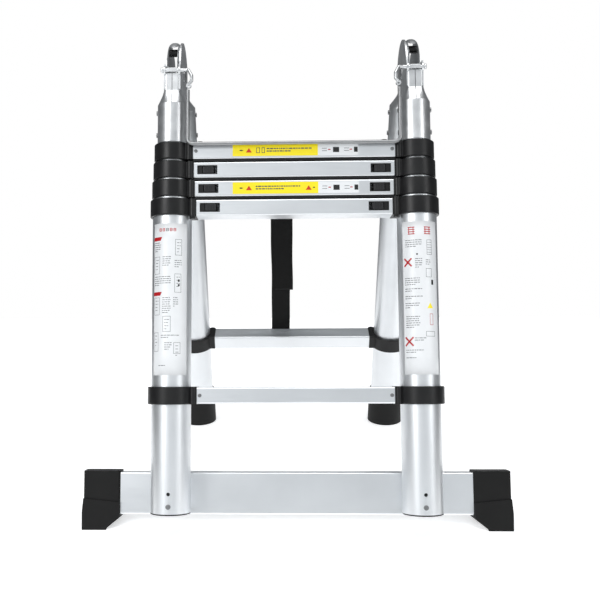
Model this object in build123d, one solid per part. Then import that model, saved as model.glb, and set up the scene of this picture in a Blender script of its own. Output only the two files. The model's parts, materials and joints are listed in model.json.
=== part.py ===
from build123d import *
import os

os.makedirs("parts", exist_ok=True)

# ---- driving sizes, mm -------------------------------------------------
STILE_HALF = 200.0          # stile centre line to middle of ladder
HINGE_OFFSET = 42.0         # hinge axis to stile centre line
HINGE_HEIGHT = 717.0        # hinge axis above the floor
HINGE_Y = 26.5              # hinge axis behind the origin
LEAN_FRONT = 19.2           # front half, degrees from upright
LEAN_REAR = 13.9            # rear half, degrees from upright
TUBE_R = {1: 23.0, 2: 26.0, 3: 29.0, 4: 32.0}
WALL = 1.5
COLLAR_R = {1: 30.3, 2: 31.8, 3: 33.6, 4: 36.0, 5: 37.8}
COLLAR_H = 28.0
FLANGE = 5.2                # collar flange beyond the ring
COLLAR_TOP = 134.8          # top of the highest collar below the hinge axis
NEST_PITCH = 31.3           # rung to rung, closed
RUNG_PITCH = 300.0          # rung to rung, open
FIXED_TOP = 532.6           # top of the fixed collar below the hinge axis
RUNG_H = 26.4
RUNG_D = 38.0
RUNG_WALL = 1.8
RUNG_INNER_R = 1.2
RUNG_DROP = 0.8             # rung set in from the collar's top
PLUG_L = 7.0                # collar plug inside the rung's end
SCREW_R = 1.6
BASE_SCREW_Z = -719.3
BASE_HOLE_Z = -699.9
TUBE_BOTTOM = {1: 704.0, 2: 708.0, 3: 712.0, 4: 731.0}
BUSH_H = 30.0
RUN_FIT = 0.05              # radial clearance of sliding tubes
PIN_FIT = 0.08              # radial clearance of latch pins
GAP = 0.4                   # clearance between moving bodies
LATCH_R = 4.0
LATCH_STROKE = 5.6
BUTTON_L = 18.0
BUTTON_H = 11.0
BUTTON_INSET = 9.0          # button to the window's outer end
BUTTON_PROUD = 0.6
WINDOW_L = BUTTON_INSET + BUTTON_L + LATCH_STROKE + GAP
WINDOW_H = 15.0
WINDOW_INSET = 5.5          # window to the rung's end
BAR_HALF = 318.0
BAR_H = 68.0
BAR_D = 26.0
BAR_TOP = 672.0
BAR_WALL = 2.5
BOOT_IN = 286.5
BOOT_OUT = 347.0
FOOT_R = 36.0
SHELL_R = 25.4
SHELL_END = 132.5
SHELL_TOP = 67.2
NECK_END = 44.7             # front neck meets its shoulder
REAR_NECK_END = 47.8        # rear neck, clear of the turning front plates
NECK_TOP = 16.0
NECK_HALF = 13.75           # front neck half width
NECK_DEPTH = 17.0           # neck half depth
SHEET = 3.0
PLATE_R = 55.0              # tall hinge plate
HEAD_R = 55.5               # rear hinge head
PIVOT_R = 6.0
SHAFT_Y = -60.5
SHAFT_Z = -11.5
SHAFT_R = 3.0
BAIL_R = 3.0
BAIL_X = 172.5
BAIL_Y = -69.0
BAIL_TOP = -48.5
BAIL_Z = -139.0
LEVER_X = 33.5              # lever arm beside the stile line
LEVER_R = 2.6
LEVER_DROP = 30.0           # lever eye below its shaft
KNOB_R = 4.8                # hex knob under the fourth collar
KNOB_H = 5.0
STRAP_W = 38.0
STRAP_T = 1.6
STRAP_X = 22.0              # middle of the strap's back layer
STRAP_SKEW = 5.5            # front layer hangs this far beside it
STRAP_FREE = -445.0         # lower end of the front layer
SHELL_PLAY = 1.0            # tube end below the hinge shell's shoulder
LIP = 3.0                   # collar lip over the tube's end
SCREW_INSET = 4.6
RIVET_R = 2.4
RIVET_Z = (-79.0, -116.5)
FOOT_TOP = -672.0
FOOT_LOW = -790.0           # cut off at the floor
NECK_WALL = 2.2             # front and back wall of the neck
NECK_PLAY = 0.35            # rear neck and head between the front plates

TRAVEL = RUNG_PITCH - NEST_PITCH
FRONT = Pos(0, HINGE_Y, HINGE_HEIGHT) * Rot(-LEAN_FRONT, 0, 0)
REAR = Pos(0, HINGE_Y, HINGE_HEIGHT) * Rot(LEAN_REAR, 0, 0) * Rot(0, 0, 180)
AXIS_Y = -HINGE_OFFSET
SIDES = (-1, 1)


def collar_top(k):
    if k == 5:
        return -FIXED_TOP
    return -(COLLAR_TOP + (k - 1) * NEST_PITCH)


def rod_z(radius, x, y, z0, z1):
    return Pos(x, y, (z0 + z1) / 2) * Cylinder(radius, abs(z1 - z0))


def rod_x(radius, x0, x1, y, z):
    return Pos((x0 + x1) / 2, y, z) * Rot(0, 90, 0) * Cylinder(radius, abs(x1 - x0))


def rod_y(radius, x, y0, y1, z):
    return Pos(x, (y0 + y1) / 2, z) * Rot(90, 0, 0) * Cylinder(radius, abs(y1 - y0))


def slab(x0, x1, y0, y1, z0, z1):
    return Pos((x0 + x1) / 2, (y0 + y1) / 2, (z0 + z1) / 2) * Box(abs(x1 - x0), abs(y1 - y0), abs(z1 - z0))


def save(place, solids, name):
    moved = [place * s for s in solids]
    flat = []
    for m in moved:
        flat.extend(m.solids())
    body = flat[0] if len(flat) == 1 else Compound(flat)
    export_step(body, "parts/" + name + ".step")


def rung_mid(k):
    return collar_top(k) - RUNG_DROP - RUNG_H / 2


def latch_z(k):
    return rung_mid(k)


# ---- stile tubes -------------------------------------------------------
def tube_top(k):
    if k == 1:
        return -(SHELL_TOP + SHELL_PLAY)
    return collar_top(k) - LIP


def tubes(k):
    out = []
    for s in SIDES:
        x = s * STILE_HALF
        t = rod_z(TUBE_R[k], x, AXIS_Y, -TUBE_BOTTOM[k], tube_top(k))
        t = t - rod_z(TUBE_R[k] - WALL, x, AXIS_Y, -TUBE_BOTTOM[k] - 1, tube_top(k) + 1)
        if k > 1:
            t = t - rod_x(LATCH_R + GAP, x, x - s * 40, AXIS_Y, latch_z(k))
        if k < 4:
            t = t - rod_x(LATCH_R + GAP, x, x - s * 40, AXIS_Y, latch_z(k + 1) - TRAVEL)
        out.append(t)
    return out


def bushes(k):
    out = []
    for s in SIDES:
        x = s * STILE_HALF
        z0 = -TUBE_BOTTOM[k]
        b = rod_z(TUBE_R[k + 1] - WALL - RUN_FIT, x, AXIS_Y, z0, z0 + BUSH_H)
        b = b - rod_z(TUBE_R[k], x, AXIS_Y, z0 - 1, z0 + BUSH_H + 1)
        out.append(b)
    return out


# ---- collars with rung flange ------------------------------------------
def rung_end(k):
    return STILE_HALF - COLLAR_R[k] - FLANGE


def screw_x(k, s):
    return s * (rung_end(k) - SCREW_INSET)


def screw_hole(k, s):
    face = AXIS_Y - RUNG_D / 2
    return rod_y(SCREW_R, screw_x(k, s), face - 2, face + RUNG_WALL + 1.0, rung_mid(k))


def collar(k, s):
    x = s * STILE_HALF
    top = collar_top(k)
    low = top - COLLAR_H
    r = COLLAR_R[k]
    ring = rod_z(r, x, AXIS_Y, low, top)
    ring = fillet(ring.edges().filter_by(GeomType.CIRCLE), 1.6)
    x_face = x - s * (r + FLANGE)
    block = slab(x - s * (r - 12), x_face, AXIS_Y - RUNG_D / 2 - 1, AXIS_Y + RUNG_D / 2 + 1, low, top)
    block = fillet(block.edges().filter_by(Axis.X), 3.0)
    rib = rod_z(6.0, x - s * (r - 1.0), AXIS_Y - RUNG_D / 2 + 3.0, low, top)
    plug = Pos(x_face - s * PLUG_L / 2, AXIS_Y, rung_mid(k))
    plug = plug * Box(PLUG_L, RUNG_D - 2 * RUNG_WALL, RUNG_H - 2 * RUNG_WALL)
    plug = fillet(plug.edges().filter_by(Axis.X), RUNG_INNER_R)
    body = ring + block + rib + plug
    if k in (1, 5):
        bore = TUBE_R[1] if k == 1 else TUBE_R[4]
        body = body - rod_z(bore, x, AXIS_Y, low - 1, top + 1)
        body = body - screw_hole(k, s)
    else:
        body = body - rod_z(TUBE_R[k], x, AXIS_Y, low - 1, top - LIP)
        body = body - rod_z(TUBE_R[k - 1] + RUN_FIT, x, AXIS_Y, low - 1, top + 1)
        body = body - rod_x(LATCH_R + PIN_FIT, x, x_face - s * 10, AXIS_Y, latch_z(k))
    return body


def bumper(k):
    end = rung_end(k)
    high = rung_mid(k) - RUNG_H / 2
    low = collar_top(k + 1) + GAP
    return slab(-end, end, AXIS_Y - RUNG_D / 2 + 1.5, AXIS_Y + RUNG_D / 2 - 1.5, low, high)


def collars(k, with_bumper):
    out = [collar(k, -1), collar(k, 1)]
    if with_bumper:
        out.append(bumper(k))
    return out


# ---- rungs -------------------------------------------------------------
def rung(k):
    end = rung_end(k)
    mid = rung_mid(k)
    outer = Pos(0, AXIS_Y, mid) * Box(2 * end, RUNG_D, RUNG_H)
    outer = fillet(outer.edges().filter_by(Axis.X), 3.0)
    inner = Pos(0, AXIS_Y, mid) * Box(2 * end + 2, RUNG_D - 2 * RUNG_WALL, RUNG_H - 2 * RUNG_WALL)
    inner = fillet(inner.edges().filter_by(Axis.X), RUNG_INNER_R)
    r = outer - inner
    for i in range(7):
        y = AXIS_Y - 13.5 + i * 4.5
        r = r - slab(-end - 1, end + 1, y - 0.9, y + 0.9, mid + RUNG_H / 2 - 0.7, mid + RUNG_H / 2 + 1)
    if 1 < k < 5:
        for s in SIDES:
            x1 = s * (end - WINDOW_INSET)
            x0 = x1 - s * WINDOW_L
            w = slab(x0, x1, AXIS_Y - RUNG_D, AXIS_Y - 10, mid - WINDOW_H / 2, mid + WINDOW_H / 2)
            r = r - fillet(w.edges().filter_by(Axis.Y), 2.0)
    else:
        for s in SIDES:
            r = r - screw_hole(k, s)
    return [r]


def latch(k, s):
    end = rung_end(k)
    mid = latch_z(k)
    x1 = s * (end - WINDOW_INSET - BUTTON_INSET)
    x0 = x1 - s * BUTTON_L
    face = AXIS_Y - RUNG_D / 2
    button = slab(x0, x1, face - BUTTON_PROUD, face + 9.0, mid - BUTTON_H / 2, mid + BUTTON_H / 2)
    button = fillet(button.edges().group_by(Axis.Y)[0], 1.0)
    for i in range(3):
        x = x0 + s * (5.5 + 4.0 * i)
        button = button - slab(x - 0.7, x + 0.7, face - 2, face + 0.1, mid - 4, mid + 4)
    block = slab(x0, x1, face + 8.0, AXIS_Y + 8, mid - 6.5, mid + 6.5)
    tip = s * (STILE_HALF - TUBE_R[k - 1] - 0.6)
    pin = rod_x(LATCH_R, x0, tip, AXIS_Y, mid)
    return [button + block + pin]


# ---- fixings -----------------------------------------------------------
def rung_screws(k):
    out = []
    for s in SIDES:
        face = AXIS_Y - RUNG_D / 2
        x = screw_x(k, s)
        z = rung_mid(k)
        head = rod_y(3.0, x, face - 1.6, face, z)
        head = fillet(head.edges().group_by(Axis.Y)[0], 0.9)
        shank = rod_y(SCREW_R, x, face, face + RUNG_WALL + 1.0, z)
        slot = slab(x - 3, x + 3, face - 3, face - 1.0, z - 0.4, z + 0.4)
        out.append(head + shank - slot)
    return out


def collar_knobs():
    out = []
    r = COLLAR_R[4]
    z = collar_top(4) - COLLAR_H
    for s in SIDES:
        x = s * (STILE_HALF - r + 1.0)
        y = AXIS_Y - RUNG_D / 2 + 1.0
        knob = Pos(x, y, z - KNOB_H) * extrude(RegularPolygon(KNOB_R, 6), KNOB_H)
        out.append(knob)
    return out


def base_screws():
    out = []
    for s in SIDES:
        x = s * STILE_HALF
        front = AXIS_Y - TUBE_R[4]
        head = rod_y(4.0, x, front - 1.6, front + 0.6, BASE_SCREW_Z)
        head = fillet(head.edges().group_by(Axis.Y)[0], 1.0)
        head = head - rod_z(TUBE_R[4], x, AXIS_Y, BASE_SCREW_Z - 9, BASE_SCREW_Z + 9)
        shank = rod_y(2.4, x, front - 1.0, AXIS_Y + TUBE_R[4] + BAR_WALL + 2.0, BASE_SCREW_Z)
        out.append(head + shank)
    return out


# ---- lower end ---------------------------------------------------------
def plugs():
    out = []
    for s in SIDES:
        x = s * STILE_HALF
        z = -TUBE_BOTTOM[4]
        rim = rod_z(TUBE_R[4], x, AXIS_Y, z - 2.2, z)
        rim = fillet(rim.edges().group_by(Axis.Z)[0], 0.8)
        spigot = rod_z(TUBE_R[4] - WALL, x, AXIS_Y, z, z + 8.0)
        cup = rod_z(TUBE_R[4] - WALL - 2.0, x, AXIS_Y, z + 2.0, z + 9.0)
        out.append(rim + spigot - cup)
    return out


def front_tubes_4():
    out = []
    for s, t in zip(SIDES, tubes(4)):
        x = s * STILE_HALF
        t = t - rod_y(2.5, x, AXIS_Y - 60, AXIS_Y + 60, BASE_SCREW_Z)
        t = t - rod_y(2.9, x, AXIS_Y - 60, AXIS_Y, BASE_HOLE_Z)
        out.append(t)
    return out


def base_bar():
    y0 = AXIS_Y + TUBE_R[4]
    bar = slab(-BAR_HALF, BAR_HALF, y0, y0 + BAR_D, -BAR_TOP - BAR_H, -BAR_TOP)
    bar = fillet(bar.edges().filter_by(Axis.X), 3.0)
    hole = slab(
        -BAR_HALF - 1,
        BAR_HALF + 1,
        y0 + BAR_WALL,
        y0 + BAR_D - BAR_WALL,
        -BAR_TOP - BAR_H + BAR_WALL,
        -BAR_TOP - BAR_WALL,
    )
    bar = bar - hole
    for s in SIDES:
        bar = bar - rod_y(2.5, s * STILE_HALF, y0 - 5, y0 + 6, BASE_SCREW_Z)
    return [bar]


def floor_block():
    return Pos(0, 0, -100) * Box(2000, 2000, 200)


def base_feet():
    out = []
    y0 = AXIS_Y + TUBE_R[4]
    for s in SIDES:
        low = -BAR_TOP - BAR_H
        upper = slab(s * BOOT_IN, s * BOOT_OUT, y0 - 3.0, y0 + BAR_D + 3.0, low - 4, -BAR_TOP + 2.5)
        upper = fillet(upper.edges().filter_by(Axis.Z), 4.0)
        pts = [
            (s * (BOOT_IN + 1), -BAR_TOP - BAR_H + 20),
            (s * (BOOT_IN + 1), -BAR_TOP - BAR_H - 5),
            (s * (BOOT_IN + 22), -BAR_TOP - BAR_H - 22),
            (s * (BOOT_IN + 24), -BAR_TOP - BAR_H - 60),
            (s * (BOOT_OUT + 1), -BAR_TOP - BAR_H - 60),
            (s * (BOOT_OUT + 2.0), -BAR_TOP - BAR_H + 4),
            (s * BOOT_OUT, -BAR_TOP - BAR_H + 26),
        ]
        face = Plane.XZ * make_face(Polyline(*pts, close=True))
        lower = Pos(0, y0 + BAR_D + 6.0, 0) * extrude(face, BAR_D + 11.0)
        foot = upper + lower
        foot = foot - slab(s * (BOOT_IN - 1), s * BAR_HALF, y0, y0 + BAR_D, -BAR_TOP - BAR_H, -BAR_TOP)
        foot = (FRONT * foot) - floor_block()
        out.append(foot)
    return out


def rear_feet():
    out = []
    for s in SIDES:
        x = s * STILE_HALF
        top = FOOT_TOP
        foot = rod_z(FOOT_R, x, AXIS_Y, FOOT_LOW, top)
        foot = fillet(foot.edges().group_by(Axis.Z)[-1], 3.0)
        foot = foot - rod_z(TUBE_R[4], x, AXIS_Y, -TUBE_BOTTOM[4], top + 1)
        foot = foot - rod_z(TUBE_R[4] - WALL - 0.5, x, AXIS_Y, -TUBE_BOTTOM[4] - 1, top)
        foot = (REAR * foot) - floor_block()
        out.append(foot)
    return out


# ---- hinge -------------------------------------------------------------
def arm_shell(x, half, neck_end):
    outer = rod_z(SHELL_R, x, AXIS_Y, -SHELL_END, -SHELL_TOP)
    inner = rod_z(TUBE_R[1], x, AXIS_Y, -SHELL_END - 1, -SHELL_TOP + 1)
    low = Plane((x, AXIS_Y, -SHELL_TOP)) * Circle(SHELL_R)
    high = Plane((x, AXIS_Y, -neck_end)) * RectangleRounded(2 * half, 2 * NECK_DEPTH, 5.0)
    shoulder = loft([low, high])
    low_in = Plane((x, AXIS_Y, -SHELL_TOP)) * Circle(TUBE_R[1])
    hollow = RectangleRounded(2 * half - 2 * SHEET, 2 * (NECK_DEPTH - NECK_WALL), 2.0)
    high_in = Plane((x, AXIS_Y, -neck_end)) * hollow
    shoulder_in = loft([low_in, high_in])
    neck = Plane((x, AXIS_Y, -neck_end)) * RectangleRounded(2 * half, 2 * NECK_DEPTH, 5.0)
    neck = extrude(neck, neck_end - NECK_TOP)
    neck_in = extrude(high_in, neck_end - NECK_TOP + 1)
    body = (outer - inner) + (shoulder - shoulder_in) + (neck - neck_in)
    seam = slab(x - 0.5, x + 0.5, AXIS_Y - 30, AXIS_Y - 10, -SHELL_TOP - 1, 0)
    back = slab(x - half + SHEET, x + half - SHEET, AXIS_Y + 8, AXIS_Y + 30, -neck_end - 14, 0)
    return body - seam - back


def side_plate(x0, x1, radius, y_neck):
    disc = rod_x(radius, x0, x1, 0, 0)
    web = slab(x0, x1, AXIS_Y - NECK_DEPTH + 1, y_neck, -NECK_END + 2, 0)
    return disc, web


def front_hinge():
    out = []
    for s in SIDES:
        x = s * STILE_HALF
        body = arm_shell(x, NECK_HALF, NECK_END)
        x_in = x - s * NECK_HALF
        x_out = x + s * NECK_HALF
        disc, web = side_plate(x_in, x_in + s * SHEET, PLATE_R, 20)
        keep = slab(x_in + 5, x_in - 5, AXIS_Y - NECK_DEPTH + 1, PLATE_R - 6, -NECK_END, PLATE_R + 1)
        tall = (disc + web) & keep
        tall = tall + rod_x(7.0, x_in, x_in + s * SHEET, SHAFT_Y + 2, SHAFT_Z)
        disc, web = side_plate(x_out, x_out - s * SHEET, 33.0, 12)
        short = disc + web + rod_x(7.0, x_out, x_out - s * SHEET, SHAFT_Y + 2, SHAFT_Z)
        body = body + tall + short
        body = body - rod_x(PIVOT_R, x_in - s * 5, x_out + s * 5, 0, 0)
        body = body - rod_x(SHAFT_R + PIN_FIT, x_in - s * 5, x_out + s * 5, SHAFT_Y, SHAFT_Z)
        out.append(body)
    return out


def rear_hinge():
    out = []
    lip = NECK_HALF - SHEET - NECK_PLAY
    for s in SIDES:
        x = s * STILE_HALF
        arm = arm_shell(x, lip, REAR_NECK_END)
        outer = rod_x(HEAD_R, x - lip, x + lip, 0, 0)
        dome = fillet(outer.edges().filter_by(GeomType.CIRCLE), lip - 1.2)
        dome = dome & slab(x - lip, x + lip, -HEAD_R, HEAD_R, 20, HEAD_R)
        lower = outer & slab(x - lip, x + lip, -HEAD_R, HEAD_R, -HEAD_R, 20)
        web = slab(x - lip, x + lip, AXIS_Y - NECK_DEPTH + 3.0, 14, -REAR_NECK_END + 1, 0)
        solid = dome + lower + web
        core = slab(x - lip + SHEET, x + lip - SHEET, -80, 80, -80, HEAD_R - SHEET)
        head = solid - core
        head = head - rod_x(PIVOT_R + RUN_FIT, x - 20, x + 20, 0, 0)
        out.append(arm + head)
    return out


def hinge_pins():
    out = []
    for s in SIDES:
        x = s * STILE_HALF
        end = NECK_HALF
        pin = rod_x(PIVOT_R, x - end, x + end, 0, 0)
        caps = rod_x(9.0, x - end - 2.2, x - end, 0, 0) + rod_x(9.0, x + end, x + end + 2.2, 0, 0)
        out.append(pin + caps)
    return out


def spacers():
    out = []
    lip = NECK_HALF - NECK_PLAY - 2 * SHEET
    for s in SIDES:
        x = s * STILE_HALF
        out.append(rod_x(6.2, x - lip, x + lip, 9.0, 41.0))
    return out


def rivets():
    out = []
    for s in SIDES:
        for z in RIVET_Z:
            for d in SIDES:
                x0 = s * STILE_HALF + d * (TUBE_R[1] - 1.5)
                x1 = s * STILE_HALF + d * (SHELL_R + 1.6)
                shank = rod_x(RIVET_R, x0, x1, AXIS_Y, z)
                head = rod_x(4.0, x1 - d * 1.6, x1 + d * 0.4, AXIS_Y, z)
                out.append(shank + head)
    return out


def with_rivet_holes(solids):
    out = []
    for b in solids:
        for s in SIDES:
            for z in RIVET_Z:
                x = s * STILE_HALF
                b = b - rod_x(RIVET_R, x - 60, x + 60, AXIS_Y, z)
        out.append(b)
    return out


def lock_lever(s):
    x = s * STILE_HALF
    plate = NECK_HALF
    shaft = rod_x(SHAFT_R, x + s * (plate + 3.0), x - s * 20.0, SHAFT_Y, SHAFT_Z)
    knob = rod_x(4.6, x + s * (plate + GAP), x + s * (plate + 4.6), SHAFT_Y, SHAFT_Z)
    knob = fillet(knob.edges().filter_by(GeomType.CIRCLE), 1.4)
    clip = slab(x - 8.5, x + 8.5, SHAFT_Y - 3.4, SHAFT_Y + 3.2, SHAFT_Z - 3.0, SHAFT_Z + 3.6)
    clip = fillet(clip.edges().filter_by(Axis.X), 1.2)
    eye_x = x - s * (LEVER_X - 4.5)
    low = SHAFT_Z - LEVER_DROP
    path = FilletPolyline(
        (x - s * 18.0, SHAFT_Y, SHAFT_Z),
        (x - s * 27.0, SHAFT_Y - 2.0, SHAFT_Z),
        (x - s * LEVER_X, BAIL_Y, SHAFT_Z - 13.0),
        (x - s * LEVER_X, BAIL_Y, low + 8.0),
        (eye_x + s * 0.4, BAIL_Y, low + 2.4),
        radius=3.5,
    )
    arm = sweep(Plane(origin=path @ 0, z_dir=path % 0) * Circle(LEVER_R), path)
    eye = rod_y(4.2, eye_x, BAIL_Y - 2.1, BAIL_Y + 2.1, low)
    hole = rod_y(1.7, eye_x, BAIL_Y - 4, BAIL_Y + 4, low - 0.6)
    return [shaft + knob + clip + arm + eye - hole]


def release_bail():
    bend = 9.0
    path = Polyline(
        (-BAIL_X, BAIL_Y, BAIL_TOP),
        (-BAIL_X, BAIL_Y, BAIL_Z),
        (BAIL_X, BAIL_Y, BAIL_Z),
        (BAIL_X, BAIL_Y, BAIL_TOP),
    )
    path = fillet(path.vertices().sort_by(Axis.Z)[0:2], bend)
    start = Plane(origin=(-BAIL_X, BAIL_Y, BAIL_TOP), z_dir=(0, 0, -1))
    rod = sweep(start * Circle(BAIL_R), path)
    return [rod]


# ---- strap -------------------------------------------------------------
def strap():
    y0 = AXIS_Y - RUNG_D / 2
    low = -(FIXED_TOP + 22.0)
    high = collar_top(4) - 6.0
    x = STRAP_X
    back = slab(x - STRAP_W / 2, x + STRAP_W / 2, y0 - STRAP_T, y0, low, high)
    x = STRAP_X - STRAP_SKEW
    top = rung_mid(4) - RUNG_H / 2 - 1.8
    front = slab(x - STRAP_W / 2, x + STRAP_W / 2, y0, y0 + STRAP_T, STRAP_FREE, top)
    return [back + front]


# ---- write every node --------------------------------------------------
save(FRONT, front_tubes_4(), "front_4_tubes")
save(FRONT, collars(4, False), "front_4_collars")
save(FRONT, collars(5, False), "front_5_collars")
save(FRONT, rung(4), "front_4_rung")
save(FRONT, rung(5), "front_5_rung")
save(FRONT, plugs(), "front_4_plugs")
save(FRONT, base_bar(), "base_bar")
save(Location(), base_feet(), "base_feet")
save(FRONT, rung_screws(5) + base_screws() + collar_knobs(), "front_4_fixings")
save(REAR, tubes(4), "rear_4_tubes")
save(REAR, collars(4, False), "rear_4_collars")
save(REAR, collars(5, False), "rear_5_collars")
save(REAR, rung(4), "rear_4_rung")
save(REAR, rung(5), "rear_5_rung")
save(Location(), rear_feet(), "rear_feet")
save(REAR, rung_screws(5) + collar_knobs(), "rear_4_fixings")
save(REAR, strap(), "tie_strap")
for place, half in ((FRONT, "front"), (REAR, "rear")):
    for k in (3, 2, 1):
        pair = tubes(k)
        if k == 1:
            pair = with_rivet_holes(pair)
        save(place, pair, half + "_" + str(k) + "_tubes")
        save(place, bushes(k), half + "_" + str(k) + "_bushes")
        save(place, collars(k, True), half + "_" + str(k) + "_collars")
        save(place, rung(k), half + "_" + str(k) + "_rung")
    left = -1 if half == "front" else 1
    for k in (4, 3, 2):
        save(place, latch(k, left), half + "_" + str(k) + "_latch_l")
        save(place, latch(k, -left), half + "_" + str(k) + "_latch_r")
save(FRONT, with_rivet_holes(front_hinge()), "front_hinge")
save(REAR, with_rivet_holes(rear_hinge()), "rear_hinge")
save(FRONT, rung_screws(1) + rivets() + hinge_pins(), "front_1_fixings")
save(REAR, rung_screws(1) + rivets() + spacers(), "rear_1_fixings")
save(FRONT, lock_lever(-1), "lock_lever_l")
save(FRONT, lock_lever(1), "lock_lever_r")
save(FRONT, release_bail(), "release_bail")
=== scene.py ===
"""Telescoping ladder: finishes, printed labels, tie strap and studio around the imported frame."""
import json
import math
import bpy
import numpy as np
from bpy.props import FloatProperty, FloatVectorProperty, PointerProperty
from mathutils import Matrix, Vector


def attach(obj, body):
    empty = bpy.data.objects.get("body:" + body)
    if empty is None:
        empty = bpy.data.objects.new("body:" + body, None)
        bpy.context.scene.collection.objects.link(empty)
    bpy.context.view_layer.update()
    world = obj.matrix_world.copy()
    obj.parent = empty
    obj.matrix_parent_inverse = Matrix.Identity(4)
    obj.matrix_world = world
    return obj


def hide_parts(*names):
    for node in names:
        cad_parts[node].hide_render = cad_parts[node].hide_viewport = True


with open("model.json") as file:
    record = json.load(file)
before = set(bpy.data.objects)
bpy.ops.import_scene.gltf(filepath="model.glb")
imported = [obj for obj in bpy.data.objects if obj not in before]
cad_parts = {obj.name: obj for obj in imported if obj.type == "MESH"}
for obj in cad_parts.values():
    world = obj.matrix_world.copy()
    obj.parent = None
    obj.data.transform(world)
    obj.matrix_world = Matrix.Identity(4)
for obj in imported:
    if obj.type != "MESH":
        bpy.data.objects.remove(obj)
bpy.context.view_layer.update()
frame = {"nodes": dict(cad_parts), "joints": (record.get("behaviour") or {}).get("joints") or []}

bl_info = {
    "name": "Telescoping ladder finishes",
    "version": (1, 0, 0),
    "blender": (4, 5, 0),
    "location": "View3D > Sidebar > Ladder",
    "description": "Finishes, labels, strap and studio for a telescoping ladder",
    "category": "Add Mesh",
}

MM = 0.001


# ---- places that come from the frame -----------------------------------
def joint(name):
    """The joint of that name in the frame."""
    return next(j for j in frame["joints"] if j["name"] == name)


def half_axes(half):
    """Origin on the hinge axis, and unit vectors across, inward and up one half of the ladder."""
    origin = np.array(joint("main_hinge")["pos_m"])
    if half == "front":
        up = np.array(joint("front_3_slide")["axis"])
        across = np.array([1.0, 0.0, 0.0])
    else:
        up = -np.array(joint("rear_2_slide")["axis"])
        across = np.array([-1.0, 0.0, 0.0])
    return origin, across, np.cross(up, across), up


def to_world(points, half):
    """Points in one half's own millimetres become metres in the frame: origin + x a + v b + w c."""
    origin, across, inward, up = half_axes(half)
    p = np.asarray(points, float) * MM
    return origin + p[:, :1] * across + p[:, 1:2] * inward + p[:, 2:3] * up


def to_half(points, half):
    """The reverse of to_world: metres in the frame become one half's own millimetres."""
    origin, across, inward, up = half_axes(half)
    d = np.asarray(points, float) - origin
    return np.stack([d @ across, d @ inward, d @ up], 1) / MM


def node_span(node, half):
    """Lowest and highest corner of a node in one half's own millimetres, from its mesh."""
    mesh = frame["nodes"][node].data
    co = np.empty(len(mesh.vertices) * 3)
    mesh.vertices.foreach_get("co", co)
    local = to_half(co.reshape(-1, 3), half)
    return local.min(0), local.max(0)


# ---- meshes ------------------------------------------------------------
def add_piece(name, points, faces, body, material, smooth=True):
    """One closed mesh from arrays of points and faces, riding on a body."""
    mesh = bpy.data.meshes.new(name)
    mesh.from_pydata([tuple(p) for p in points], [], [tuple(f) for f in faces])
    mesh.polygons.foreach_set("use_smooth", [smooth] * len(mesh.polygons))
    mesh.update()
    piece = bpy.data.objects.new(name, mesh)
    bpy.context.scene.collection.objects.link(piece)
    mesh.materials.append(material)
    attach(piece, body)
    return piece


def grid_faces(rows, cols, start=0):
    """Quads of a grid of rows by cols points, numbered row by row."""
    i, j = np.meshgrid(np.arange(rows - 1), np.arange(cols - 1), indexing="ij")
    a = start + i * cols + j
    return np.stack([a, a + 1, a + cols + 1, a + cols], -1).reshape(-1, 4)


def slab_mesh(u, v, surface, low, high):
    """Closed slab: the grid u by v on surface(u, v, height), at height low and high, joined round its rim."""
    uu, vv = np.meshgrid(u, v, indexing="ij")
    n, m = uu.shape
    top = surface(uu.ravel(), vv.ravel(), high)
    under = surface(uu.ravel(), vv.ravel(), low)
    faces = [grid_faces(n, m), grid_faces(n, m, n * m)[:, ::-1]]
    first_row = np.arange(m)
    last_col = np.arange(1, n) * m + m - 1
    last_row = (n - 1) * m + np.arange(m - 2, -1, -1)
    first_col = np.arange(n - 2, 0, -1) * m
    rim = np.concatenate([first_row, last_col, last_row, first_col])
    nxt = np.roll(rim, -1)
    faces.append(np.stack([nxt, rim, rim + n * m, nxt + n * m], 1))
    return np.concatenate([top, under]), np.concatenate(faces)


def merge(parts):
    """Several (points, faces) pairs as one pair."""
    points, faces, start = [], [], 0
    for p, f in parts:
        points.append(p)
        faces.extend([tuple(int(i) + start for i in row) for row in f])
        start += len(p)
    return np.concatenate(points), faces


# ---- materials ---------------------------------------------------------
def new_material(name):
    """New node material, with its node tree and its Principled shader."""
    mat = bpy.data.materials.new(name)
    mat.use_nodes = True
    tree = mat.node_tree
    shader = tree.nodes["Principled BSDF"]
    return mat, tree, shader


def set_inputs(shader, **values):
    """Sets sockets by name, with underscores for spaces."""
    for key, value in values.items():
        shader.inputs[key.replace("_", " ")].default_value = value


def object_coords(tree, rotation=(0, 0, 0), scale=(1, 1, 1)):
    """Object coordinates turned by one Mapping node and then scaled by a second."""
    vector = tree.nodes.new("ShaderNodeTexCoord").outputs["Object"]
    for socket, value, rest in (("Rotation", rotation, (0, 0, 0)), ("Scale", scale, (1, 1, 1))):
        if tuple(value) != rest:
            mapping = tree.nodes.new("ShaderNodeMapping")
            mapping.inputs[socket].default_value = value
            tree.links.new(vector, mapping.inputs["Vector"])
            vector = mapping.outputs["Vector"]
    return vector


def noise(tree, vector, scale, detail=4.0, rough=0.6):
    """Noise texture on a vector, its factor returned."""
    node = tree.nodes.new("ShaderNodeTexNoise")
    node.inputs["Scale"].default_value = scale
    node.inputs["Detail"].default_value = detail
    node.inputs["Roughness"].default_value = rough
    tree.links.new(vector, node.inputs["Vector"])
    return node.outputs["Fac"]


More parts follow.
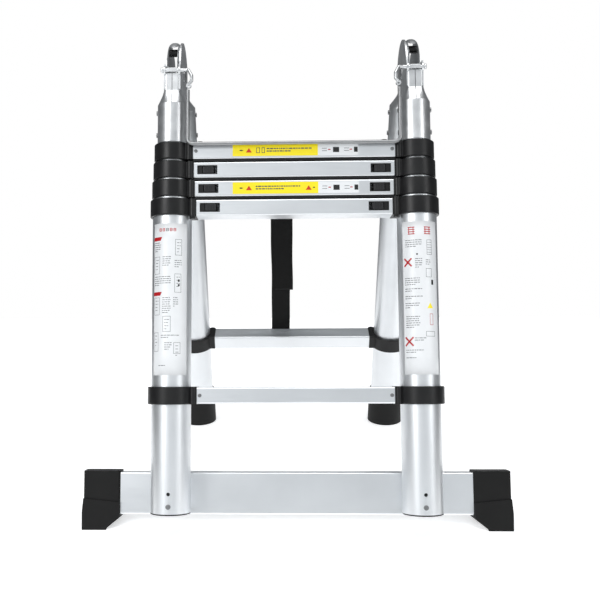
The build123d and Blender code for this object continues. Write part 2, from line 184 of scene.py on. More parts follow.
def ramp(tree, factor, stops):
    """Colour ramp through (position, colour) stops."""
    node = tree.nodes.new("ShaderNodeValToRGB")
    ends = node.color_ramp.elements
    for k, (pos, col) in enumerate(stops):
        e = ends[k] if k < 2 else ends.new(pos)
        e.position = pos
        e.color = (*col, 1.0)
    tree.links.new(factor, node.inputs["Fac"])
    return node.outputs["Color"]


def to_range(tree, factor, low, high, source=(0.0, 1.0)):
    """Map Range from source to low..high."""
    node = tree.nodes.new("ShaderNodeMapRange")
    node.inputs["From Min"].default_value = source[0]
    node.inputs["From Max"].default_value = source[1]
    node.inputs["To Min"].default_value = low
    node.inputs["To Max"].default_value = high
    tree.links.new(factor, node.inputs["Value"])
    return node.outputs["Result"]


def bump(tree, shader, height, strength, distance):
    """Bump from a height, chained onto what the shader's normal already has."""
    node = tree.nodes.new("ShaderNodeBump")
    node.inputs["Strength"].default_value = strength
    node.inputs["Distance"].default_value = distance
    tree.links.new(height, node.inputs["Height"])
    old = shader.inputs["Normal"]
    if old.is_linked:
        tree.links.new(old.links[0].from_socket, node.inputs["Normal"])
    tree.links.new(node.outputs["Normal"], shader.inputs["Normal"])


def tone(col, k):
    """A colour made lighter or darker by a factor."""
    return tuple(min(1.0, c * k) for c in col)


def brushed_metal(name, col, rough, lean, along, streak=0.35):
    """Extruded or rolled metal: fine lines along one axis after a turn by lean, and faint blotches."""
    mat, tree, shader = new_material(name)
    squeeze = tuple(0.02 if a == along else 1.0 for a in "XYZ")
    lines_at = object_coords(tree, rotation=(lean, 0, 0), scale=squeeze)
    fine = noise(tree, lines_at, 900.0, 3.0, 0.7)
    blotch = noise(tree, object_coords(tree), 14.0, 3.0, 0.5)
    set_inputs(shader, Metallic=1.0, Anisotropic=streak)
    colour = ramp(tree, blotch, [(0.3, tone(col, 0.955)), (0.7, tone(col, 1.02))])
    tree.links.new(colour, shader.inputs["Base Color"])
    tree.links.new(to_range(tree, fine, rough - 0.04, rough + 0.06, (0.3, 0.7)), shader.inputs["Roughness"])
    bump(tree, shader, fine, 0.05, 0.00004)
    return mat


def zinc_steel(name, col):
    """Bright zinc plate on steel: mottled tone and gloss, and a faint bump of crystal cells."""
    mat, tree, shader = new_material(name)
    at = object_coords(tree)
    cells = tree.nodes.new("ShaderNodeTexVoronoi")
    cells.inputs["Scale"].default_value = 260.0
    tree.links.new(at, cells.inputs["Vector"])
    mottled = noise(tree, at, 45.0, 5.0, 0.6)
    set_inputs(shader, Metallic=1.0)
    plate = ramp(tree, mottled, [(0.3, tone(col, 0.88)), (0.75, tone(col, 1.05))])
    tree.links.new(plate, shader.inputs["Base Color"])
    tree.links.new(to_range(tree, mottled, 0.30, 0.42, (0.3, 0.7)), shader.inputs["Roughness"])
    bump(tree, shader, cells.outputs["Distance"], 0.02, 0.00004)
    return mat


def moulded(name, col, rough, grain=700.0, depth=0.00025, rubbed=0.0, gloss=0.35):
    """Moulded plastic or rubber: fine spark grain, with patches rubbed paler by a given amount."""
    mat, tree, shader = new_material(name)
    at = object_coords(tree)
    fine = noise(tree, at, grain, 2.0, 0.5)
    broad = noise(tree, at, 22.0, 4.0, 0.6)
    set_inputs(shader, Metallic=0.0, Specular_IOR_Level=gloss)
    pale = tuple(c + rubbed for c in col)
    tree.links.new(ramp(tree, broad, [(0.42, col), (0.8, pale)]), shader.inputs["Base Color"])
    tree.links.new(to_range(tree, broad, rough - 0.06, rough + 0.08, (0.3, 0.7)), shader.inputs["Roughness"])
    bump(tree, shader, fine, 0.25, depth)
    return mat


def printed(name, col, rough=0.38):
    """Printed film: nearly flat colour with the faint ripple of a glued label."""
    mat, tree, shader = new_material(name)
    at = object_coords(tree)
    ripple = noise(tree, at, 60.0, 2.0, 0.5)
    film = ramp(tree, ripple, [(0.3, tone(col, 0.97)), (0.7, tone(col, 1.0))])
    tree.links.new(film, shader.inputs["Base Color"])
    set_inputs(shader, Roughness=rough, Coat_Weight=0.15, Coat_Roughness=0.2)
    bump(tree, shader, ripple, 0.04, 0.0004)
    return mat


def webbing(name, col):
    """Woven strap on its own UV map in millimetres: crossed yarn waves, whose colour carries painted shade,
    darker between the yarns and paler on their tops.
    """
    mat, tree, shader = new_material(name)
    uv = tree.nodes.new("ShaderNodeUVMap")
    uv.uv_map = "strap"
    waves = []
    for axis, scale in (("X", 0.16), ("Y", 0.32)):
        wave = tree.nodes.new("ShaderNodeTexWave")
        wave.bands_direction = axis
        wave.inputs["Scale"].default_value = scale
        wave.inputs["Distortion"].default_value = 0.4
        tree.links.new(uv.outputs["UV"], wave.inputs["Vector"])
        waves.append(wave.outputs["Fac"])
    mix = tree.nodes.new("ShaderNodeMath")
    mix.operation = "MULTIPLY"
    tree.links.new(waves[0], mix.inputs[0])
    tree.links.new(waves[1], mix.inputs[1])
    fuzz = noise(tree, object_coords(tree), 1500.0, 2.0, 0.6)
    # painted shade: the weave's height darkens the strap's colour in the hollows between the yarns and
    # lightens it on the yarn tops
    yarn_painted_shade = ramp(tree, mix.outputs[0], [(0.0, tone(col, 0.5)), (0.8, tone(col, 1.5))])
    tree.links.new(yarn_painted_shade, shader.inputs["Base Color"])
    set_inputs(shader, Roughness=0.85, Specular_IOR_Level=0.2, Sheen_Weight=0.08, Sheen_Roughness=0.5)
    bump(tree, shader, mix.outputs[0], 0.6, 0.0005)
    bump(tree, shader, fuzz, 0.3, 0.0002)
    return mat


# ---- settings ----------------------------------------------------------
def colour(label, about, value):
    """A colour setting."""
    return FloatVectorProperty(name=label, description=about, default=value, size=3, min=0, max=1,
                               subtype="COLOR")


def length(label, about, value):
    """A size in millimetres, a unit that Blender's own length properties don't hold."""
    return FloatProperty(name=label, description=about, default=value, min=0)


class LadderFinishes(bpy.types.PropertyGroup):
    aluminium: colour("Aluminium", "Anodised tubes and rungs", (0.80, 0.82, 0.84))
    zinc: colour("Zinc plate", "Hinge arms, levers and release bar", (0.80, 0.81, 0.82))
    plastic: colour("Collars", "Moulded collars and latch sliders", (0.006, 0.006, 0.0065))
    rubber: colour("Rubber", "Boots and feet", (0.005, 0.005, 0.005))
    strap: colour("Strap", "Woven tie strap", (0.006, 0.006, 0.006))
    yellow: colour("Label yellow", "Notice on the rungs", (0.95, 0.78, 0.01))
    white: colour("Label white", "Labels on tubes and rungs", (0.80, 0.815, 0.83))
    red: colour("Label red", "Headings and tabs", (0.46, 0.004, 0.008))
    orange: colour("Label orange", "Warning triangles on the rung notices", (0.62, 0.035, 0.006))
    ink: colour("Label grey", "Printed lines", (0.075, 0.08, 0.09))
    black: colour("Label black", "Printed marks", (0.01, 0.01, 0.01))


class LadderLabels(bpy.types.PropertyGroup):
    film: length("Film thickness", "Thickness of a label, mm", 0.15)
    print_lift: length("Print lift", "Height of a printed mark over its label, mm", 0.08)
    tube_radius: length("Tube radius", "Outer radius of the outer tube, mm", 32.0)
    stile_half: length("Stile offset", "Middle of the ladder to a stile, mm", 200.0)
    hinge_offset: length("Hinge offset", "Hinge axis to the stile line, mm", 42.0)
    label_top: length("Label top", "Hinge axis to the top of the tube label, mm", 270.5)
    label_length: length("Label length", "Length of the tube label, mm", 244.0)
    label_angle: FloatProperty(name="Label wrap", description="Half the angle that the tube label covers",
                               default=math.radians(56), subtype="ANGLE")


class LadderLatches(bpy.types.PropertyGroup):
    inset: length("Button inset", "Window's outer end to the button, mm", 9.0)
    button: length("Button length", "Length of the button, mm", 18.0)
    travel: length("Button travel", "Button to the window's inner end, mm", 6.0)
    height: length("Window height", "Height of the window, mm", 15.0)
    wall: length("Bezel wall", "Thickness of the bezel's rim, mm", 1.2)
    gap: length("Bezel gap", "Bezel to the window's edge, mm", 0.15)
    proud: length("Bezel proud", "How far the rim stands out of the rung, mm", 0.25)
    depth: length("Bezel depth", "How far the rim goes into the rung, mm", 3.0)


class LadderStrap(bpy.types.PropertyGroup):
    width: length("Strap width", "Width of the webbing, mm", 37.0)
    thick: length("Strap thickness", "Thickness of the webbing, mm", 1.4)
    skew: length("Skew", "How far the free end hangs beside the other layer, mm", 5.5)
    free_end: length("Free end", "Hinge axis to the free end, mm", 444.0)


class LadderStudio(bpy.types.PropertyGroup):
    eye: FloatVectorProperty(name="Camera", description="Place of the camera",
                             default=(-0.0237, -1.4888, 0.6860), subtype="TRANSLATION", unit="LENGTH")
    turn: FloatVectorProperty(name="Camera turn", description="Turn of the camera", subtype="EULER",
                              default=(math.radians(76.404), math.radians(0.798), math.radians(1.881)))
    lens: FloatProperty(name="Lens", description="Focal length, mm", default=51.1, min=1, unit="CAMERA")
    shift: FloatProperty(name="Shift", description="Sideways shift of the view", default=0.0834)
    floor: colour("Floor", "Pale studio floor", (0.90, 0.905, 0.91))
    floor_glow: FloatProperty(name="Floor glow", description="Light that the floor gives",
                              default=0.54, min=0)
    floor_size: FloatVectorProperty(name="Floor size", description="Width and depth of the floor", size=2,
                                    default=(1.9, 2.2), subtype="XYZ", unit="LENGTH")
    front_glow: FloatProperty(name="Front glow", description="Brightness of the dome in front",
                              default=0.68, min=0)
    back_glow: FloatProperty(name="Back glow", description="Brightness of the dome behind",
                             default=0.16, min=0)
    key_power: FloatProperty(name="Key", description="Power of the main softbox", default=26.0, min=0,
                             unit="POWER")
    fill_share: FloatProperty(name="Fill share", description="Power of the fill softbox over the key's",
                              default=0.45, min=0)
    day_strength: FloatProperty(name="Daylight", description="Strength of the broad daylight",
                                default=1.5, min=0)
    day_spread: FloatProperty(name="Daylight spread", description="Angle that the daylight fills",
                              default=math.radians(50), subtype="ANGLE")
    day_lean: FloatProperty(name="Daylight lean", description="Lean of the daylight from straight down",
                            default=math.radians(8), subtype="ANGLE")


def settings(group):
    """The scene's settings in one group."""
    return getattr(bpy.context.scene, group)


def finish_materials():
    """Every finish, made once and then found by name."""
    c = settings("ladder_finishes")
    ups = {half: half_axes(half)[3] for half in ("front", "rear")}
    made = {}

    def once(name, maker):
        made[name] = bpy.data.materials.get(name) or maker()

    for half, up in ups.items():
        name = "anodised tube " + half
        once(name, lambda n=name, u=up: brushed_metal(n, c.aluminium, 0.40, math.atan2(u[1], u[2]), "Z", 0.0))
    once("extruded rung", lambda: brushed_metal("extruded rung", c.aluminium, 0.34, 0.0, "X"))
    once("zinc plate", lambda: zinc_steel("zinc plate", c.zinc))
    once("drawn rod", lambda: zinc_steel("drawn rod", tone(c.zinc, 0.45)))
    once("collar plastic", lambda: moulded("collar plastic", c.plastic, 0.36, rubbed=0.004))
    once("slider plastic", lambda: moulded("slider plastic", tone(c.plastic, 3.4), 0.30, rubbed=0.008))
    once("boot rubber", lambda: moulded("boot rubber", c.rubber, 0.58, grain=500.0, depth=0.0004,
                                        rubbed=0.004, gloss=0.22))
    once("screw steel", lambda: zinc_steel("screw steel", tone(c.zinc, 0.34)))
    once("black oxide", lambda: moulded("black oxide", c.plastic, 0.3))
    once("woven strap", lambda: webbing("woven strap", c.strap))
    for key in ("yellow", "white", "red", "orange", "ink", "black"):
        once("print " + key, lambda k=key: printed("print " + k, tuple(getattr(c, k))))
    return made


# ---- finishes on the frame's own parts ---------------------------------
def finish_for(node):
    """The finish that a CAD node takes, by what the node is."""
    half = node.split("_")[0]
    if "tubes" in node:
        return "anodised tube " + half
    if "rung" in node or node == "base_bar":
        return "extruded rung"
    if "latch" in node:
        return "slider plastic"
    if "feet" in node:
        return "boot rubber"
    if "bail" in node:
        return "drawn rod"
    if "hinge" in node or "lever" in node:
        return "zinc plate"
    if "fixings" in node:
        return "screw steel"
    return "collar plastic"


class LADDER_OT_finishes(bpy.types.Operator):
    """Give every carried-over part its metal, plastic or rubber finish"""
    bl_idname = "ladder.finishes"
    bl_label = "Finish the parts"

    def execute(self, context):
        made = finish_materials()
        for node, obj in frame["nodes"].items():
            if node == "tie_strap":
                continue
            obj.data.materials.clear()
            obj.data.materials.append(made[finish_for(node)])
        blacken(made["black oxide"], ("front_4_fixings", "rear_4_fixings"), outside_stile=True)
        blacken(made["black oxide"], ("rear_1_fixings",), outside_stile=False)
        return {"FINISHED"}


KNOB_SPAN = (-265.0, -240.0)
SPACER_REACH = 45.0
SPACER_FLOOR = 10.0


def blacken(material, nodes, outside_stile):
    """Puts a second finish on some loose solids of a fixings node, chosen by where each face lies up the
    half and inwards, in mm from the hinge axis: the hex knobs within KNOB_SPAN, or the spacers above
    SPACER_FLOOR and within SPACER_REACH."""
    for node in nodes:
        half = node.split("_")[0]
        mesh = frame["nodes"][node].data
        mesh.materials.append(material)
        centre = np.empty(len(mesh.polygons) * 3)
        mesh.polygons.foreach_get("center", centre)
        local = to_half(centre.reshape(-1, 3), half)
        if outside_stile:
            pick = (local[:, 2] > KNOB_SPAN[0]) & (local[:, 2] < KNOB_SPAN[1])
        else:
            pick = (np.abs(local[:, 1]) < SPACER_REACH) & (local[:, 2] > SPACER_FLOOR)
        mesh.polygons.foreach_set("material_index", pick.astype(np.int32))


# ---- tube labels -------------------------------------------------------
GLUE = 0.02                     # mm between a label's underside and the metal


def tube_surface(side):
    """Wraps (arc mm, drop mm, lift mm) on the outer tube: an angle of arc over radius from the face that
    looks away from the hinge, at a drop below the hinge axis."""
    s = settings("ladder_labels")

    def surface(arc, drop, lift):
        angle = arc / s.tube_radius
        r = s.tube_radius + lift
        across = side * s.stile_half + r * np.sin(angle)
        inward = -s.hinge_offset - r * np.cos(angle)
        return to_world(np.stack([across, inward, -drop], 1), "front")

    return surface


def marks_on(surface, marks, low, high, step=1.5):
    """Closed slabs for rectangles (left, right, top, bottom) on a surface, fine enough to follow it."""
    parts = []
    for left, right, top, bottom in marks:
        cols = max(2, int(abs(right - left) / step) + 2)
        parts.append(slab_mesh(np.linspace(left, right, cols), np.array([top, bottom]), surface, low, high))
    return merge(parts)


def frame_marks(left, right, top, bottom, line=0.5):
    """The four thin strips of an outlined box."""
    return [(left, right, top, top + line), (left, right, bottom - line, bottom),
            (left, left + line, top, bottom), (right - line, right, top, bottom)]


def text_lines(rng, left, right, top, lines, pitch=3.4, height=1.0):
    """Rows of short dashes that stand in for small print: no letters, only word lengths."""
    marks = []
    for i in range(lines):
        x = left
        end = right if i < lines - 1 else left + (right - left) * rng.uniform(0.35, 0.8)
        while x < end - 1.5:
            w = rng.uniform(1.6, 5.5)
            marks.append((x, min(x + w, end), top + i * pitch, top + i * pitch + height))
            x += w + 1.0
    return marks


def slanted_tab(left, right, top, bottom, rows=8):
    """A tab with a slanted right end, as stacked strips that get shorter downwards."""
    drop = (bottom - top) / rows
    return [(left, right - 3.0 * i / rows, top + i * drop, top + (i + 1) * drop + 0.01) for i in range(rows)]


def left_label(top):
    """Marks of the left tube label: a heading of five boxes whose middle one is grey, red tabs, outlined
    boxes and dashed small print."""
    rng = np.random.default_rng(11)
    red, middle = [], []
    for i in range(5):
        left = -18 + 6.0 * i
        box = middle if i == 2 else red
        box += frame_marks(left, left + 4.2, top + 8, top + 13, 0.9)
        box.append((left + 0.9, left + 3.3, top + 10.1, top + 10.9))
    red += slanted_tab(-31, -13, top + 22, top + 28) + slanted_tab(-31, -13, top + 111, top + 117)
    ink = text_lines(rng, -29, -15, top + 31, 5) + text_lines(rng, -12, 2, top + 54, 5)
    ink += text_lines(rng, -29, 2, top + 86, 5) + text_lines(rng, -12, 2, top + 120, 8)
    ink += text_lines(rng, -14, 16, top + 180, 2) + text_lines(rng, 8, 20, top + 60, 4)
    ink += text_lines(rng, 6, 14, top + 120, 5) + text_lines(rng, -18, 6, top + 228, 1)
    for box in ((-29, -17, 54, 82), (-29, -17, 120, 148), (-29, -19, 176, 206), (9, 20, 26, 52),
                (8, 19, 82, 112), (-11, 2, 150, 175), (7, 18, 192, 210)):
        ink += frame_marks(box[0], box[1], top + box[2], top + box[3])
        ink += text_lines(rng, box[0] + 3, box[1] - 2, top + box[2] + 5, 4, 5.0, 0.8)
    ink += text_lines(rng, -8, 4, top + 192, 4)
    black = [(13.5, 16.5, top + 91, top + 95), (13.5, 16.5, top + 98.5, top + 102)]
    return {"print red": red, "print ink": ink + middle, "print black": black}


def triangle(middle, top, slope, tread, rows):
    """A triangle standing on its base, as strips that get wider downwards by slope on each side."""
    return [(middle - slope * i, middle + slope * i, top + tread * i, top + tread * (i + 1))
            for i in range(1, rows + 1)]


def cross_marks(cx, cy, half, line=1.3, steps=9):
    """A diagonal cross as two stair rows of small squares."""
    out = []
    for k in range(steps):
        d = -half + 2 * half * k / (steps - 1)
        for sign in (-1, 1):
            out.append((cx + d - line, cx + d + line, cy + sign * d - line, cy + sign * d + line))
    return out


def right_label(top):
    """Marks of the right tube label: two heading blocks, crosses, boxes, a triangle and small print."""
    rng = np.random.default_rng(23)
    red = []
    for x in (-20, 6):
        red += [(x, x + 11, top + 9 + 3.6 * i, top + 10.4 + 3.6 * i) for i in range(4)]
        red += [(x + 1, x + 2.2, top + 9, top + 21), (x + 8.2, x + 9.4, top + 9, top + 21)]
    red += cross_marks(-21, top + 66, 5.5) + cross_marks(-21, top + 192, 6.0)
    red += frame_marks(13, 19, top + 148, top + 166, 0.6)
    ink = text_lines(rng, -25, 2, top + 30, 4) + text_lines(rng, -9, 2, top + 60, 5)
    ink += text_lines(rng, -27, -2, top + 91, 4) + text_lines(rng, -27, 2, top + 108, 2)
    ink += text_lines(rng, -27, 3, top + 120, 2) + text_lines(rng, -27, -3, top + 131, 3)
    ink += text_lines(rng, -26, -3, top + 152, 6) + text_lines(rng, -12, 8, top + 186, 2)
    ink += text_lines(rng, -27, 2, top + 205, 2) + text_lines(rng, -27, -2, top + 217, 1)
    ink += text_lines(rng, 8, 16, top + 62, 3) + frame_marks(10, 19, top + 30, top + 54)
    ink += [(10, 19, top + 30 + 4 * i, top + 30.5 + 4 * i) for i in range(1, 6)]
    ink += frame_marks(8, 18, top + 76, top + 90) + frame_marks(6, 22, top + 176, top + 184)
    black = [(17, 21, top + 94, top + 102), (-7, -4.5, top + 52, top + 54.5)]
    yellow = triangle(14, top + 130, 0.45, 0.8, 11)
    return {"print red": red, "print ink": ink, "print black": black, "print yellow": yellow}


class LADDER_OT_tube_labels(bpy.types.Operator):
    """Make the two white labels wrapped on the outer tubes, with generic marks"""
    bl_idname = "ladder.tube_labels"
    bl_label = "Tube labels"

    def execute(self, context):
        s = settings("ladder_labels")
        made = finish_materials()
        reach = s.label_angle * s.tube_radius
        for side, word, label in ((-1, "left", left_label), (1, "right", right_label)):
            surface = tube_surface(side)
            points, faces = slab_mesh(np.linspace(-reach, reach, 41),
                                      np.linspace(s.label_top, s.label_top + s.label_length, 9),
                                      surface, GLUE, s.film)
            add_piece("tube_label_" + word, points, faces, "front_base", made["print white"])
            for ink, rects in label(s.label_top).items():
                points, faces = marks_on(surface, rects, s.film, s.film + s.print_lift)
                name = "tube_label_" + word + "_" + ink.split()[1]
                add_piece(name, points, faces, "front_base", made[ink], smooth=False)
        return {"FINISHED"}


# ---- latch bezels ------------------------------------------------------
def brick(x0, x1, v0, v1, w0, w1):
    """Closed box between opposite corners in one half's own millimetres."""
    x0, x1 = min(x0, x1), max(x0, x1)
    points = np.array([(x, v, w) for w in (w0, w1) for v in (v0, v1) for x in (x0, x1)])
    faces = np.array([(0, 2, 3, 1), (4, 5, 7, 6), (0, 1, 5, 4), (2, 6, 7, 3), (0, 4, 6, 2), (1, 3, 7, 5)])
    return points, faces


SHOULDER_DEPTH = 5.0            # mm from the lowest tread to the shoulder's underside
SHOULDER_LOW = 2.4              # mm that the lowest tread lies inside the rung's face
SHOULDER_HIGH = 0.1             # mm that the highest tread stands out of it
SHOULDER_CLEAR = 1.0            # mm between the shoulder and the button


def stepped_ramp(x_end, x_high, v_low, v_high, w0, w1, steps=5):
    """The bezel's outer shoulder: treads from the window's end up to the button, tread i of n at
    v_low + (v_high - v_low) * (i / (n - 1)) ** 0.6."""
    out = []
    for i in range(steps):
        a = x_end + (x_high - x_end) * i / steps
        b = x_end + (x_high - x_end) * (i + 1) / steps
        rise = v_low + (v_high - v_low) * (i / (steps - 1)) ** 0.6
        out.append(brick(a, b, rise, v_low + SHOULDER_DEPTH, w0, w1))
    return out


class LADDER_OT_bezels(bpy.types.Operator):
    """Make the moulded bezels that line the twelve latch windows"""
    bl_idname = "ladder.bezels"
    bl_label = "Latch bezels"

    def execute(self, context):
        s = settings("ladder_latches")
        made = finish_materials()
        for half in ("front", "rear"):
            for k in (4, 3, 2):
                for word in "lr":
                    self.bezel(s, made, half, k, word)
        return {"FINISHED"}

    def bezel(self, s, made, half, k, word):
        """The rim's two long walls, and the shoulder at the window's outer end."""
        latch = "%s_%d_latch_%s" % (half, k, word)
        low, high = node_span(latch, half)
        rung_low, rung_high = node_span("%s_%d_rung" % (half, k), half)
        side = 1 if low[0] + high[0] > 0 else -1
        face = rung_low[1]
        middle = (rung_low[2] + rung_high[2]) / 2
        inner = (low[0] if side > 0 else high[0]) - side * s.travel
        outer = inner + side * (s.inset + s.travel + s.button)
        h = s.height / 2 - s.gap
        near, far = inner + side * s.gap, outer - side * s.gap
        rim = [brick(near, far, face - s.proud, face + s.depth, middle + h - s.wall, middle + h),
               brick(near, far, face - s.proud, face + s.depth, middle - h, middle - h + s.wall)]
        ramp_end = outer - side * (s.inset - SHOULDER_CLEAR)
        rim += stepped_ramp(far, ramp_end, face + SHOULDER_LOW, face - SHOULDER_HIGH,
                            middle - h + s.wall, middle + h - s.wall)
        points, faces = merge([(to_world(p, half), f) for p, f in rim])
        body = {"front4": "front_base", "rear4": "rear_base"}.get(half + str(k), half + "_" + str(k))
        add_piece(latch.replace("latch", "bezel"), points, faces, body,
                  made["collar plastic"], smooth=False)


# ---- rung labels -------------------------------------------------------
NOTICE_HALF = 9.6               # mm from a notice's middle to its edge
NOTICE_SPLIT = 39.5             # mm from the ladder's middle to where yellow meets white
NOTICE_LEFT = -99.5
NOTICE_RIGHT = 105.0
FLAT_STEP = 200.0               # longer than any mark, so that marks on a flat face aren't divided


def rung_surface(rung):
    """Lays (across mm, below the rung's middle mm, lift mm) flat on a front rung's outer face."""
    low, high = node_span(rung, "front")
    middle = (low[2] + high[2]) / 2
    face = low[1]

    def surface(across, below, lift):
        return to_world(np.stack([across, face - lift + 0 * across, middle - below], 1), "front")

    return surface


def notice_marks(seed, wide):
    """Marks of one rung notice: arrow, orange triangles, dashed print, black blocks and short bars.
    The wide notice has two outlined boxes where the other has a second triangle."""
    rng = np.random.default_rng(seed)
    start = -100.0
    orange = triangle(start + 27, -4.3, 0.42, 0.66, 11)
    black = [(start + 12, start + 16, -1, 1), (start + 16, start + 18, -0.4, 0.4),
             (64, 74, -4, 4.5), (98, 104, -4, 4.5)]
    ink = text_lines(rng, start + (56 if wide else 38), 30 if wide else 12, -3.6, 2, 4.2, 2.0)
    if wide:
        for left, right in ((39, 45), (48, 53)):
            ink += frame_marks(start + left, start + right, -4.5, 4.5, 0.9)
    else:
        orange += triangle(24, -4, 0.42, 0.66, 11)
        black += [(31, 34, -0.9, 0.9)]
    ink += [(46, 54, -2.5, -1.7), (46, 54, 1.7, 2.5), (82, 90, -2.5, -1.7), (82, 90, 1.7, 2.5)]
    red = [(56, 60, -0.8, 0.8), (91, 95, -0.8, 0.8)]
    return {"print red": red, "print orange": orange, "print black": black, "print ink": ink}


class LADDER_OT_rung_labels(bpy.types.Operator):
    """Make the yellow and white notices on the front half's first and third rungs"""
    bl_idname = "ladder.rung_labels"
    bl_label = "Rung labels"

    def execute(self, context):
        s = settings("ladder_labels")
        made = finish_materials()
        for body, seed, wide in (("front_1", 5, True), ("front_3", 8, False)):
            surface = rung_surface(body + "_rung")
            for key, left, right in (("yellow", NOTICE_LEFT, NOTICE_SPLIT),
                                     ("white", NOTICE_SPLIT, NOTICE_RIGHT)):
                points, faces = slab_mesh(np.linspace(left, right, 3), np.array([-NOTICE_HALF, NOTICE_HALF]),
                                          surface, GLUE, s.film)
                name = body + "_notice_" + key
                add_piece(name, points, faces, body, made["print " + key], smooth=False)
            for ink, rects in notice_marks(seed, wide).items():
                points, faces = marks_on(surface, rects, s.film, s.film + s.print_lift, FLAT_STEP)
                name = body + "_notice_" + ink.split()[1] + "_marks"
                add_piece(name, points, faces, body, made[ink], smooth=False)
        return {"FINISHED"}


# ---- tie strap ---------------------------------------------------------
def band(centre, half_width, path, thick):
    """A strap carried along a path of (v, w) points in the rear half: its section is a flat lens with
    rounded edges, x = half_width * cos(a), lift = thick / 2 * |sin(a)| ** 0.45 signed, on a ring of
    angles, and its middle wanders by two sines of the run along the path."""
    ring = np.linspace(0, 2 * math.pi, 28, endpoint=False)
    lift = np.sign(np.sin(ring)) * np.abs(np.sin(ring)) ** 0.45 * thick / 2
    path = np.asarray(path, float)
    along = np.gradient(path, axis=0)
    along /= np.linalg.norm(along, axis=1)[:, None]
    normal = np.stack([-along[:, 1], along[:, 0]], 1)
    run = np.concatenate([[0], np.cumsum(np.linalg.norm(np.diff(path, axis=0), axis=1))])
    wander = centre + 0.5 * np.sin(run / 41.0) + 0.3 * np.sin(run / 17.0 + 1.0)
    x = wander[:, None] + half_width * np.cos(ring)[None, :]
    v = path[:, :1] + normal[:, :1] * lift[None, :]
    w = path[:, 1:] + normal[:, 1:] * lift[None, :]
    n, m = x.shape
    points = np.stack([x, v, w], -1).reshape(-1, 3)
    i, j = np.meshgrid(np.arange(n - 1), np.arange(m), indexing="ij")
    a, b = i * m + j, i * m + (j + 1) % m
    faces = [tuple(q) for q in np.stack([a, b, b + m, a + m], -1).reshape(-1, 4)]
    faces += [tuple(range(m - 1, -1, -1)), tuple(range((n - 1) * m, n * m))]
    uv = np.stack([np.cos(ring)[None, :] * half_width + 0 * x, run[:, None] + 0 * x], -1).reshape(-1, 2)
    return points, faces, uv


SWAY = 0.35
RIPPLE = 0.25


class LADDER_OT_strap(bpy.types.Operator):
    """Make the woven tie strap with its free end, in place of the plain one"""
    bl_idname = "ladder.strap"
    bl_label = "Tie strap"

    def execute(self, context):
        s = settings("ladder_strap")
        made = finish_materials()
        low, high = node_span("tie_strap", "rear")
        rung_low, _ = node_span("rear_4_rung", "rear")
        back = low[1] + s.thick / 2 + 0.15
        middle = (low[0] + high[0]) / 2
        down = np.linspace(high[2] - 0.5, low[2] + 0.5, 60)
        # the long layer sways by SWAY * sin(3 pi t), and the free end ripples against it by RIPPLE
        sag = SWAY * np.sin((down - low[2]) / (high[2] - low[2]) * math.pi * 3)
        first = np.stack([back + np.clip(sag, -0.05, 0.4), down], 1)
        free = np.linspace(rung_low[2] - 1.5, -s.free_end, 40)
        lift = back + s.thick + 0.05 + RIPPLE * (1 + np.sin(free / 23.0))
        second = np.stack([lift, free], 1)
        parts, uvs = [], []
        for path, offset in ((first, s.skew / 2), (second, -s.skew / 2)):
            p, f, uv = band(middle + offset, s.width / 2, path, s.thick)
            parts.append((to_world(p, "rear"), f))
            uvs.append(uv)
        points, faces = merge(parts)
        strap = add_piece("tie_strap_webbing", points, faces, "rear_base", made["woven strap"])
        layer = strap.data.uv_layers.new(name="strap")
        index = np.empty(len(strap.data.loops), np.int32)
        strap.data.loops.foreach_get("vertex_index", index)
        layer.data.foreach_set("uv", np.concatenate(uvs)[index].ravel())
        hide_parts("tie_strap")
        return {"FINISHED"}


# ---- studio ------------------------------------------------------------
def soft_light(name, place, aim, size, power):
    """A rectangular softbox at a place, turned to aim."""
    light = bpy.data.lights.new(name, "AREA")
    light.shape = "RECTANGLE"
    light.size, light.size_y = size
    light.energy = power
    lamp = bpy.data.objects.new(name, light)
    bpy.context.scene.collection.objects.link(lamp)
    lamp.location = place
    lamp.rotation_euler = (Vector(aim) - Vector(place)).to_track_quat("-Z", "Y").to_euler()


def studio_world(tree, front, back):
    """White behind the object for the eye, and for reflections a soft grey dome: brightest towards the
    front, greyer to the back, by the direction's Y, so that round tubes get darker flanks."""
    n, link = tree.nodes, tree.links.new
    shade = n["Background"]
    direction = n.new("ShaderNodeTexCoord")
    parts = n.new("ShaderNodeSeparateXYZ")
    link(direction.outputs["Generated"], parts.inputs["Vector"])
    glow = to_range(tree, parts.outputs["Y"], front, back, (-0.80, -0.25))
    link(glow, shade.inputs["Strength"])
    shade.inputs["Color"].default_value = (0.93, 0.97, 1.0, 1.0)
    clean = n.new("ShaderNodeBackground")
    clean.inputs["Color"].default_value = (1.0, 1.0, 1.0, 1.0)
    seen = n.new("ShaderNodeLightPath")
    mix = n.new("ShaderNodeMixShader")
    link(seen.outputs["Is Camera Ray"], mix.inputs["Fac"])
    link(shade.outputs["Background"], mix.inputs[1])
    link(clean.outputs["Background"], mix.inputs[2])
    link(mix.outputs["Shader"], n["World Output"].inputs["Surface"])


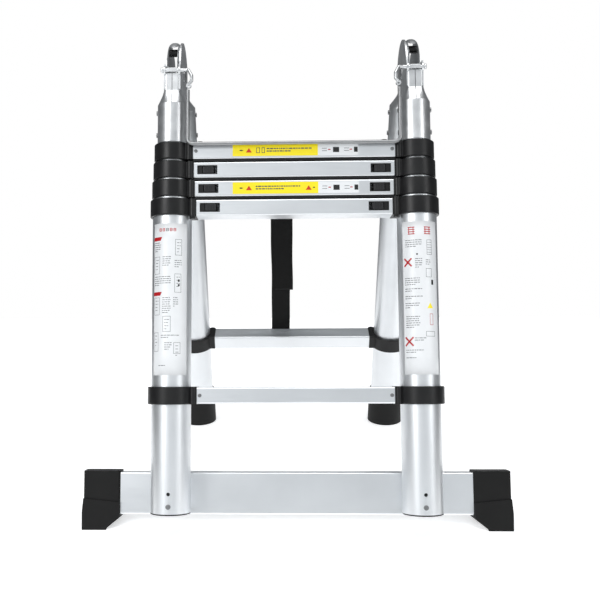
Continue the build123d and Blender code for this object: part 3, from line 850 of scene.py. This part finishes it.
class LADDER_OT_studio(bpy.types.Operator):
    """Make the pale floor, the soft lights, the bright surroundings and the camera"""
    bl_idname = "ladder.studio"
    bl_label = "Studio"

    def execute(self, context):
        s = settings("ladder_studio")
        floor_mat, tree, shader = new_material("studio floor")
        cloud = noise(tree, object_coords(tree), 3.0)
        paper = ramp(tree, cloud, [(0.3, tone(s.floor, 0.995)), (0.7, s.floor)])
        tree.links.new(paper, shader.inputs["Base Color"])
        set_inputs(shader, Roughness=0.75, Emission_Color=(1.0, 1.0, 1.0, 1.0),
                   Emission_Strength=s.floor_glow)
        mesh = bpy.data.meshes.new("studio_floor")
        x, y = s.floor_size[0] / 2, s.floor_size[1] / 2
        mesh.from_pydata([(-x, -y, 0), (x, -y, 0), (x, y, 0), (-x, y, 0)], [], [(0, 1, 2, 3)])
        mesh.materials.append(floor_mat)
        floor = bpy.data.objects.new("studio_floor", mesh)
        context.scene.collection.objects.link(floor)
        world = bpy.data.worlds.new("studio")
        context.scene.world = world
        world.use_nodes = True
        studio_world(world.node_tree, s.front_glow, s.back_glow)
        soft_light("key", (-1.7, -2.0, 1.7), (0, 0, 0.35), (0.9, 1.5), s.key_power)
        soft_light("fill", (2.1, -1.5, 1.3), (0, 0, 0.4), (0.7, 1.6), s.key_power * s.fill_share)
        sun = bpy.data.lights.new("daylight", "SUN")
        sun.energy = s.day_strength
        sun.angle = s.day_spread
        lamp = bpy.data.objects.new("daylight", sun)
        context.scene.collection.objects.link(lamp)
        lamp.rotation_euler = (s.day_lean, 0.0, 0.0)
        context.scene.view_settings.view_transform = "Standard"
        camera = bpy.data.cameras.new("camera")
        camera.lens = s.lens
        camera.sensor_width = 36.0
        camera.shift_x = s.shift
        view = bpy.data.objects.new("camera", camera)
        context.scene.collection.objects.link(view)
        view.location = s.eye
        view.rotation_euler = s.turn
        context.scene.camera = view
        return {"FINISHED"}


class LADDER_PT_panel(bpy.types.Panel):
    """Lists the ladder's operators"""
    bl_idname = "LADDER_PT_panel"
    bl_label = "Telescoping ladder"
    bl_space_type = "VIEW_3D"
    bl_region_type = "UI"
    bl_category = "Ladder"

    def draw(self, context):
        for operator in OPERATORS:
            self.layout.operator(operator.bl_idname)


GROUPS = {"ladder_finishes": LadderFinishes, "ladder_labels": LadderLabels, "ladder_latches": LadderLatches,
          "ladder_strap": LadderStrap, "ladder_studio": LadderStudio}
OPERATORS = (LADDER_OT_studio, LADDER_OT_finishes, LADDER_OT_bezels, LADDER_OT_tube_labels,
             LADDER_OT_rung_labels, LADDER_OT_strap)


def register():
    for cls in (*GROUPS.values(), *OPERATORS, LADDER_PT_panel):
        bpy.utils.register_class(cls)
    for name, group in GROUPS.items():
        setattr(bpy.types.Scene, name, PointerProperty(type=group))


def unregister():
    for name in GROUPS:
        delattr(bpy.types.Scene, name)
    for cls in reversed((*GROUPS.values(), *OPERATORS, LADDER_PT_panel)):
        bpy.utils.unregister_class(cls)


def main():
    register()
    for operator in OPERATORS:
        group, word = operator.bl_idname.split(".")
        getattr(getattr(bpy.ops, group), word)()


if __name__ == "__main__":
    main()
